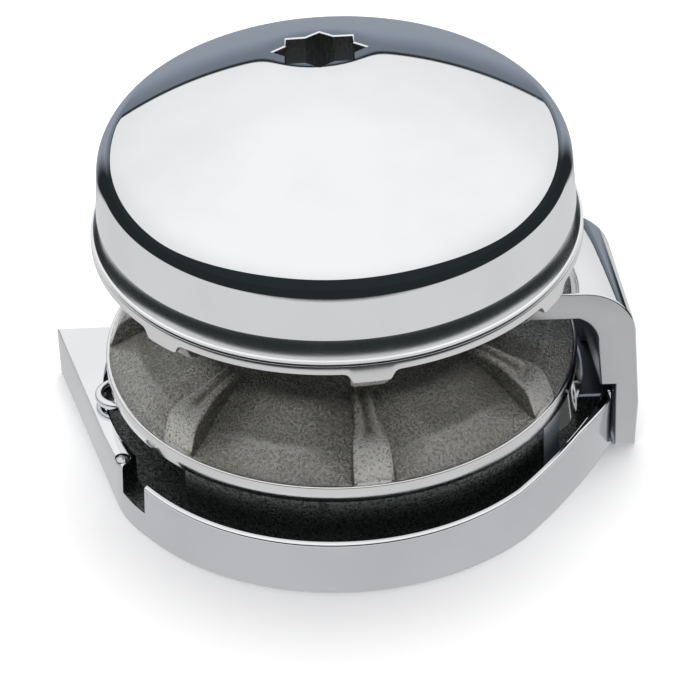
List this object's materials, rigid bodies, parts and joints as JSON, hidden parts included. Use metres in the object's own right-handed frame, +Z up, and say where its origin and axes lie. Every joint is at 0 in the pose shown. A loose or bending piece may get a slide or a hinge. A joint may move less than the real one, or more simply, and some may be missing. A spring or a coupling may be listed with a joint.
{
  "type": "anchor windlass",
  "caption": "Low-profile vertical anchor windlass: polished domed clutch cap over a cast chainwheel, round base with side plate, pawl and arched chain hood",
  "frame": {"origin": "on the shaft axis at the deck plane, the underside of the base", "axes": "+Z up along the shaft; +X towards the chain hood; -Y towards the round front wall"},
  "size_m": [0.1563, 0.1401, 0.1065],
  "materials": {
    "polished_base": "mirror-polished plated casting",
    "polished_hood": "polished top, satin front face",
    "polished_cap": "mirror-polished dome and wall",
    "polished_pawl": "polished",
    "cast_wheel": "rough as-cast pockets, polished rims",
    "machined_steel": "turned",
    "fastener_steel": "bright",
    "cone_bronze": "turned bronze",
    "bearing_bronze": "turned bronze",
    "seal_rubber": "matt black"
  },
  "bodies": {
    "base": {"base_plate": "polished_base", "shaft_bush": "bearing_bronze", "shaft_seal": "seal_rubber", "thrust_washer": "bearing_bronze", "chain_hood": "polished_hood", "chain_stripper": "machined_steel", "stripper_screws": "fastener_steel", "hood_screws": "fastener_steel", "pawl_pin": "fastener_steel", "pawl_clip": "fastener_steel", "stop_screw": "fastener_steel"},
    "shaft": {"main_shaft": "machined_steel", "lower_cone": "cone_bronze", "cone_keys": "machined_steel", "shaft_circlip": "machined_steel", "shaft_washer": "machined_steel"},
    "wheel": {"chain_wheel": "cast_wheel", "wheel_bush": "bearing_bronze", "ratchet_ring": "machined_steel", "ratchet_screws": "fastener_steel"},
    "clutch_ring": {"upper_cone": "cone_bronze", "thrust_ring": "bearing_bronze"},
    "cap": {"clutch_cap": "polished_cap", "cap_seal": "seal_rubber"},
    "pawl": {"pawl_lever": "polished_pawl", "pawl_bush": "bearing_bronze"}
  },
  "joints": [
    {"name": "shaft_turn", "type": "hinge", "parent": "base", "child": "shaft", "pos_m": [0, 0, 0.03], "axis": [0, 0, 1], "continuous": true},
    {"name": "wheel_turn", "type": "hinge", "parent": "shaft", "child": "wheel", "pos_m": [0, 0, 0.0439], "axis": [0, 0, 1], "continuous": true},
    {"name": "cap_turn", "type": "hinge", "parent": "clutch_ring", "child": "cap", "pos_m": [0, 0, 0.08], "axis": [0, 0, 1], "range_deg": [0, 360]},
    {"name": "clutch_lift", "type": "slide", "parent": "shaft", "child": "clutch_ring", "axis": [0, 0, 1], "range_m": [0, 0.002]},
    {"name": "pawl_swing", "type": "hinge", "parent": "base", "child": "pawl", "pos_m": [-0.0475, 0.0333, 0.017], "axis": [0, 0, 1], "range_deg": [0, 5.5]}
  ],
  "couplings": [
    {"joint": "clutch_lift", "follows": "cap_turn", "m_per_rad": 0.00031831}
  ]
}
